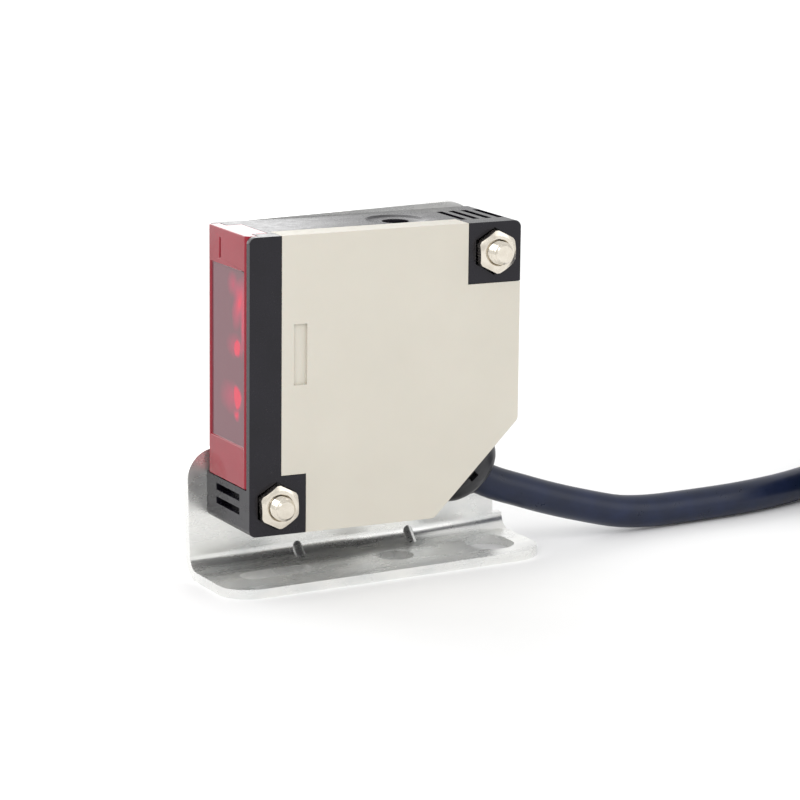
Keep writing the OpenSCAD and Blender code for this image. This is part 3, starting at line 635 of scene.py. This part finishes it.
def nickel_plate(name, light, dark, low, high):
    # nickel plated turned and cold formed steel: warm white metal, finer and glossier than the
    # zinc. The tool marks are under 0.05 mm and are drawn at 0.15 mm, so that they show
    mat, tree, shader = material(name, light, low, 1.0)
    mottle(tree, shader, (dark, light), 1.2)
    dull_patches(tree, shader, low, high, 0.6)
    grain(tree, shader, 0.15, 0.0015, strength=0.6)
    return mat


def moulded(name, colours, rough, grain_mm=0.22, depth_mm=0.006, patch_mm=6.0, **sockets):
    # injection moulded in a spark-eroded tool: an even fine matte grain under a soft sheen. The
    # real grain is about 0.05 mm and is drawn coarser, so that it shows
    mat, tree, shader = material(name, colours[0], sum(rough) / 2, **sockets)
    mottle(tree, shader, colours, patch_mm)
    dull_patches(tree, shader, rough[0], rough[1], 1.5)
    grain(tree, shader, grain_mm, depth_mm)
    return mat


def red_window():
    # polished red acrylic: clear gloss, coloured through, faint flow lines from moulding
    mat, tree, shader = material("polished_red_acrylic", "B21530", 0.08, IOR=1.5,
                                 Transmission_Weight=0.4, Specular_IOR_Level=0.36)
    mottle(tree, shader, ("A8122C", "BA1B37"), 14)
    dull_patches(tree, shader, 0.04, 0.1, 5)
    grain(tree, shader, 4.0, 0.01, strength=0.25, detail=1.0)
    return mat


def painted_reflection_zone():
    # the clear zone of the window: greyish rose from the dark holder behind it, with painted
    # crimson reflections of the two lenses and painted slanting reflections over the upper one
    mat, tree, shader = material("clear_red_zone_painted_reflections", "7E4450", 0.07, IOR=1.5,
                                 Transmission_Weight=0.25)
    place = add(tree, "ShaderNodeTexCoord")
    wobble = add(tree, "ShaderNodeTexNoise", {"Vector": place.outputs["Object"], "Scale": 300,
                                              "Detail": 2.0})
    bend = add(tree, "ShaderNodeVectorMath", {0: wobble.outputs["Color"], 1: (WAVER,) * 3},
               operation="MULTIPLY")
    moved = add(tree, "ShaderNodeVectorMath", {0: place.outputs["Object"],
                                               1: bend.outputs["Vector"]}, operation="ADD")
    total = None
    for (y, z), (wide, tall), turn, power in PAINTED_LENS_REFLECTIONS:
        x, z = in_body(0, z)
        at = (p + WAVER / 2 for p in (x, LEAD_Y + y * MM, z))
        seat = add(tree, "ShaderNodeMapping", {"Vector": moved.outputs["Vector"],
                                               "Location": tuple(at),
                                               "Rotation": (math.radians(turn), 0, 0),
                                               "Scale": (20 * MM, wide * MM, tall * MM)},
                   vector_type="TEXTURE")
        ball = add(tree, "ShaderNodeTexGradient", {"Vector": seat.outputs["Vector"]},
                   gradient_type="SPHERICAL")
        # each spot's strength of painted reflection
        painted_spot = add(tree, "ShaderNodeMath", {0: ball.outputs["Fac"], 1: power},
                   operation="MULTIPLY")
        if total is None:
            total = painted_spot
        else:
            total = add(tree, "ShaderNodeMath", {0: total.outputs["Value"],
                                                 1: painted_spot.outputs["Value"]}, use_clamp=True)
    # painted colours: greyish rose between the spots, crimson at the cores of the painted
    # reflections
    ramp = add(tree, "ShaderNodeValToRGB", {"Fac": total.outputs["Value"]})
    ramp.color_ramp.elements[0].color = linear("7A434F")
    ramp.color_ramp.elements[1].color = linear("F01448")
    ramp.color_ramp.elements.new(0.5).color = linear("B43454")
    tree.links.new(ramp.outputs["Color"], shader.inputs["Base Color"])
    dull_patches(tree, shader, 0.05, 0.12, 5)
    return mat


def clear_lens(name, colour, rough=0.04):
    # polished polycarbonate, with the slight waviness of a moulded lens
    mat, tree, shader = material(name, colour, rough, IOR=1.58, Transmission_Weight=0.9)
    mottle(tree, shader, (colour, "FFFFFF"), 6)
    grain(tree, shader, 3.0, 0.004, strength=0.2, detail=1.0)
    return mat


def pvc_jacket():
    # extruded soft PVC, navy: satin, with faint lengthwise draw marks and a rubbed look
    mat, tree, shader = material("navy_pvc_jacket", "151E36", 0.3, Specular_IOR_Level=0.36)
    mottle(tree, shader, ("121A2F", "151E36", "19233F"), 5)
    dull_patches(tree, shader, 0.26, 0.38, 2.5)
    grain(tree, shader, 0.3, 0.006, strength=0.8)
    return mat


def solder_mask():
    # green solder mask over copper tracks: tracks on a 1.27 mm grid show as paler lines
    mat, tree, shader = material("green_solder_mask", "1C5A34", 0.32)
    place = add(tree, "ShaderNodeTexCoord")
    turn = add(tree, "ShaderNodeMapping", {"Vector": place.outputs["Object"],
                                           "Rotation": (math.pi / 2, 0, 0)})
    tracks = add(tree, "ShaderNodeTexBrick", {"Vector": turn.outputs["Vector"],
                                              "Scale": 1000 / 12.7, "Mortar Size": 0.018,
                                              "Mortar Smooth": 0.2, "Brick Width": 0.5,
                                              "Row Height": 0.1, "Color1": linear("174B2C"),
                                              "Color2": linear("1B5632"),
                                              "Mortar": linear("3C7F4B")})
    tree.links.new(tracks.outputs["Color"], shader.inputs["Base Color"])
    bump = add(tree, "ShaderNodeBump", {"Height": tracks.outputs["Fac"], "Distance": 0.03 * MM,
                                        "Strength": 0.5})
    tree.links.new(bump.outputs["Normal"], shader.inputs["Normal"])
    return mat


def copper_winding():
    # enamelled copper wire: brown-red under clear varnish, glossy
    mat, tree, shader = material("enamelled_copper", "B4622E", 0.25, 0.9)
    mottle(tree, shader, ("A65526", "C2713A"), 1.5)
    return mat


FINISH = {
    "zinc_sheet": bright_zinc(),
    # nickel plate: warm white and glossy on the screws, duller on the hardened spring washers
    "screw_steel": nickel_plate("nickel_plated_steel", "E9E2D5", "D8D0C2", 0.16, 0.3),
    "spring_steel": nickel_plate("plated_spring_steel", "CFC9BD", "BDB7AB", 0.22, 0.36),
    # pressed strip and tinned strands: greyer and softer
    "clamp_steel": nickel_plate("pressed_steel_clamp", "D0D0CE", "BFC0BE", 0.25, 0.4),
    "tinned_copper": nickel_plate("tinned_copper_strands", "DADADA", "C6C7C9", 0.2, 0.34),
    # glass filled PBT: deep black with a fair sheen
    "case": moulded("black_glass_filled_pbt", ("110F16", "17151D"), (0.2, 0.3),
                    Specular_IOR_Level=0.33),
    # PBT in warm beige: even, dull, with a little light in its edges
    "cover": moulded("beige_moulded_pbt", ("C8C3B7", "CAC5B9", "CCC7BB"), (0.36, 0.48), 0.25, 0.004,
                     14.0, Subsurface_Weight=0.04, Subsurface_Scale=0.0008),
    # nylon gland: black, a little softer than the case
    "gland": moulded("black_moulded_gland", ("18181B", "212125"), (0.3, 0.42), 0.3, 0.005),
    # dead matte, so that no stray light comes back
    "optics_holder": moulded("matte_black_optics_holder", ("101012", "17171A"), (0.55, 0.7)),
    # nitrile rubber: dull black
    "seal": moulded("black_nbr_seal", ("0E0E0F", "151516"), (0.5, 0.65), 0.4, 0.004),
    # moulded epoxy of relay and chip: grey-black and dry
    "component_black": moulded("black_component_epoxy", ("17181A", "1F2023"), (0.4, 0.55),
                               0.12, 0.003),
    # unpigmented nylon: cream, satin
    "connector": moulded("natural_nylon_connector", ("E0DACB", "E9E4D7"), (0.35, 0.5), 0.2, 0.003),
    # shrunk PVC sleeve: dark blue and shiny
    "capacitor_sleeve": moulded("shrunk_pvc_sleeve", ("1B2348", "232D5C"), (0.2, 0.3), 0.6, 0.004),
    # dipped epoxy: brick red, glossy, with the slow waves of a drop that has run
    "film_resin": moulded("dipped_red_epoxy", ("8E2418", "A52D1E"), (0.18, 0.3), 1.2, 0.02),
    # sintered ferrite: stony dark grey
    "ferrite": moulded("sintered_ferrite", ("2B2B2D", "37373A"), (0.5, 0.7), 0.1, 0.006),
    # the adjuster's blue base, and its acetal knob in near black: painted shade of the deep hole it
    # sits in
    "trimmer_base": moulded("blue_moulded_trimmer", ("2A4C8C", "335A9E"), (0.35, 0.5), 0.2, 0.003),
    "trimmer_knob": moulded("acetal_knob_painted_hole_shade", ("141416", "1C1C1F"), (0.3, 0.42), 0.2, 0.003,
                            3.0),
    # unpigmented nylon strap: milky, light goes a little way in
    "tie": moulded("natural_nylon_tie", ("D9DAD2", "E4E5DE"), (0.32, 0.45), 0.3, 0.004,
                   6.0, Subsurface_Weight=0.15, Subsurface_Scale=0.001),
    "window": red_window(),
    # clear parts: tinted lenses, colourless guide, cast diodes
    "lens": clear_lens("polished_lens_red_tint", "F2A8AE"),
    "light_guide": clear_lens("clear_light_guide", "F4ECEC"),
    "led_red": clear_lens("red_cast_epoxy", "C8202A", 0.1),
    "led_orange": clear_lens("orange_cast_epoxy", "E88A2A", 0.12),
    "diode_resin": moulded("dark_ir_pass_epoxy", ("1C1420", "261B2A"), (0.1, 0.18), 2.0, 0.003),
    "board": solder_mask(),
    "cord_jacket": pvc_jacket(),
    # extruded PVC of the five cores: plain colours, satin
    "core_brown": moulded("brown_pvc_core", ("5B3420", "6B3F27"), (0.25, 0.36), 0.4, 0.003, 3.0),
    "core_blue": moulded("blue_pvc_core", ("1F4FA0", "2A5DB4"), (0.25, 0.36), 0.4, 0.003, 3.0),
    "core_black": moulded("black_pvc_core", ("161617", "202022"), (0.25, 0.36), 0.4, 0.003, 3.0),
    "core_white": moulded("white_pvc_core", ("E6E5E0", "F0EFEB"), (0.25, 0.36), 0.4, 0.003, 3.0),
    "core_grey": moulded("grey_pvc_core", ("85868A", "929397"), (0.25, 0.36), 0.4, 0.003, 3.0),
}


def paint(obj, slot):
    """Gives a piece the finish of the slot it fills."""
    obj.data.materials.clear()
    obj.data.materials.append(FINISH[slot])


paint(lead, "cord_jacket")
paint(tie_piece, "tie")
paint(tip_piece, "tinned_copper")
for core, colour in zip(core_pieces, ("brown", "blue", "black", "white", "grey")):
    paint(core, "core_" + colour)


# ---- pieces that keep the CAD shape, with rounded edges ----

# node: edge radius in millimetres, segments
EDGES = {
    "bracket": (0.18, 2), "case": (0.3, 3), "side_cover": (0.5, 4), "cover_seal": (0.1, 1),
    "front_window": (0.2, 3), "window_seal": (0.05, 1), "emitter_lens": (0.1, 2),
    "receiver_lens": (0.1, 2), "optical_block": (0.2, 2), "emitter_led": (0.1, 2),
    "receiver_diode": (0.15, 2), "light_guide": (0.15, 2), "indicator_led": (0.1, 2),
    "optics_board": (0.06, 1), "main_board": (0.06, 1), "board_screws": (0.12, 2),
    "board_connector": (0.15, 2), "relay": (0.35, 3), "supply_capacitor": (0.3, 3),
    "film_capacitor": (0.7, 4), "choke": (0.25, 2), "control_ic": (0.05, 1),
    "adjuster_base": (0.25, 2), "adjuster_knob": (0.12, 2), "gland": (0.3, 3),
    "cord_clamp": (0.1, 2), "inner_cord": (0.2, 2), "flat_washers": (0.12, 2),
    "spring_washers": (0.08, 2),
}
# the window's set-back zone in the sensor's own frame, in millimetres: face, bottom and top
ZONE_X, ZONE_LOW, ZONE_HIGH = 0.3, 14.0, 44.4


def paint_zone(window):
    """Gives the set-back zone of the window its own material, with the painted lens reflections."""
    window.data.materials.append(painted_reflection_zone())
    low, high = in_body(ZONE_X, ZONE_LOW)[1], in_body(ZONE_X, ZONE_HIGH)[1]
    for face in window.data.polygons:
        face_x = in_body(ZONE_X, (face.center.z - BODY_AT.z) / MM)[0]
        set_back = abs(face.center.x - face_x) < 0.1 * MM
        if set_back and abs(face.normal.x) > 0.9 and low < face.center.z < high:
            face.material_index = 1


def thin_out(cord, share):
    """Draws the inner cord in a little, under the jacket that runs over it."""
    along = Vector((math.cos(OUTLET), 0, -math.sin(OUTLET)))
    centre = lead_path[0]
    for v in cord.data.vertices:
        foot = centre + along * (v.co - centre).dot(along)
        v.co = foot + (v.co - foot) * share


SLOTS = {part["node"]: part["material_slot"] for part in frame["record"]["subparts"]}
BODY = {node: body for body, nodes in frame["record"]["behaviour"]["bodies"].items()
        for node in nodes}
for node, (edge, segments) in EDGES.items():
    piece = rounded(node, edge, segments)
    paint(piece, SLOTS[node])
    if node == "front_window":
        paint_zone(piece)
    if node == "inner_cord":
        thin_out(piece, 0.94)
    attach(piece, BODY[node])

screws = make_screws()
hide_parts("mount_screws")
paint(screws, "screw_steel")
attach(screws, "sensor")
nuts = make_nuts()
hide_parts("mount_nuts")
paint(nuts, "screw_steel")
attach(nuts, "sensor")


# ---- inside the case ----

def make_inner_wires():
    """Five coloured cores from the crimped clamp to their joints on the main board."""
    low, high = (Vector(p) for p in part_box("core_wires"))
    names = ("brown", "blue", "black", "white", "grey")
    wires = []
    for i, colour in enumerate(names):
        # joints 1.9 mm apart up the board; at the clamp the cores lie side by side on a slant
        end = Vector((low.x + 0.0005, high.y - 0.0003, low.z + 0.0005 + i * 0.0019))
        start = Vector((high.x - 0.0010 - 0.00045 * (4 - i), low.y + 0.0009,
                        low.z + 0.0014 + 0.00085 * i))
        middle = (start + end) / 2 + Vector((0, 0, 0.0004))
        line = smooth_line([start, middle, end - Vector((0, 0.0012, 0)), end], 0.0004)
        wire = sweep("inner_" + colour, line, circle(0.42 * MM, 12))
        wire.data.materials.append(FINISH["core_" + colour])
        wires.append(wire)
    return join("core_wires_inside", wires)


inner_wires = make_inner_wires()
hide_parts("core_wires")
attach(inner_wires, "sensor")


def make_winding():
    """Enamelled wire wound in the choke's waist."""
    low, high = (Vector(p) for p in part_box("choke"))
    centre = (low + high) / 2
    turns, first, last = 9, low.y + 0.00165, high.y - 0.00165
    line = []
    for k in range(turns * 24 + 1):
        t = 2 * math.pi * k / 24
        line.append(Vector((centre.x + 0.00346 * math.cos(t),
                            first + (last - first) * k / (turns * 24),
                            centre.z + 0.00346 * math.sin(t))))
    return sweep("choke_winding", line, circle(0.2 * MM, 8))


winding = make_winding()
winding.data.materials.append(copper_winding())
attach(winding, "sensor")


# ---- floor and light ----

def studio():
    """A pale floor that isn't part of the object, even light from all round, and three lamps."""
    floor = new_object("floor", [(-3, -3, 0), (3, -3, 0), (3, 3, 0), (-3, 3, 0)], [(0, 1, 2, 3)])
    mat, tree, shader = material("pale_paper_floor", "F7F7F7", 0.85)
    mottle(tree, shader, ("F5F5F5", "F9F9F9"), 60)
    floor.data.materials.append(mat)
    world = bpy.data.worlds.new("soft_studio")
    bpy.context.scene.world = world
    world.use_nodes = True
    world.node_tree.nodes["Background"].inputs["Color"].default_value = (1, 1, 1, 1)
    world.node_tree.nodes["Background"].inputs["Strength"].default_value = 0.85
    for name, place, size, power in (("key", (-0.7, -0.9, 1.0), 0.9, 7.0),
                                     ("fill", (0.9, -0.9, 0.6), 0.9, 2.5),
                                     ("back", (-0.1, 1.25, 0.42), 1.5, 12.0)):
        light = bpy.data.lights.new(name, "AREA")
        light.size = size
        light.energy = power
        lamp = bpy.data.objects.new(name, light)
        lamp.location = place
        aim = Vector((0, 0, 0.03)) - Vector(place)
        lamp.rotation_euler = aim.to_track_quat("-Z", "Y").to_euler()
        bpy.context.collection.objects.link(lamp)
    bpy.context.scene.view_settings.view_transform = "Standard"


studio()
